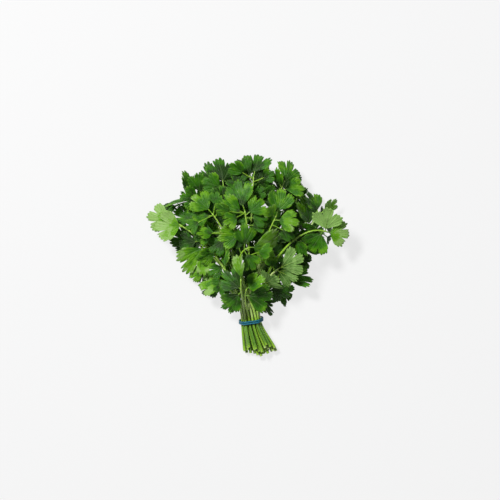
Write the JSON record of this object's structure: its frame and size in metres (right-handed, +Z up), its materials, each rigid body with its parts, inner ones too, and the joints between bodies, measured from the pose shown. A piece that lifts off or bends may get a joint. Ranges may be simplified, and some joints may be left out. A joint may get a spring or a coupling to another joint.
{
  "type": "coriander bunch",
  "caption": "Bunch of fresh coriander lying on its side: leafy stems, each with its toothed leaflets, gathered near their cut ends in a doubled rubber band.",
  "frame": {"origin": "middle of the lying bunch's footprint, on the surface that it lies on", "axes": "+Y along the bunch from the cut ends to the leaf tips, +X across it, +Z up from the surface"},
  "size_m": [0.1604, 0.163, 0.0595],
  "materials": {
    "green": "satin",
    "band": "satin"
  },
  "bodies": {
    "root": {"rubber_band": "band", "stem_far_left": "green", "stem_far_left_edge": "green", "stem_far_middle": "green", "stem_far_right": "green", "stem_far_right_edge": "green", "stem_front_cup": "green", "stem_inner_left": "green", "stem_inner_right": "green", "stem_left_base": "green", "stem_left_flat": "green", "stem_left_high": "green", "stem_left_low": "green", "stem_left_top": "green", "stem_left_upper": "green", "stem_low_far_left": "green", "stem_low_far_middle": "green", "stem_low_far_right": "green", "stem_low_left": "green", "stem_low_right": "green", "stem_middle_arch": "green", "stem_middle_tall": "green", "stem_right_base": "green", "stem_right_flat": "green", "stem_right_hanging": "green", "stem_right_high": "green", "stem_right_low": "green", "stem_right_middle": "green", "stem_right_top": "green", "stem_top_left": "green", "stem_top_middle": "green", "stem_top_right": "green"}
  },
  "joints": []
}
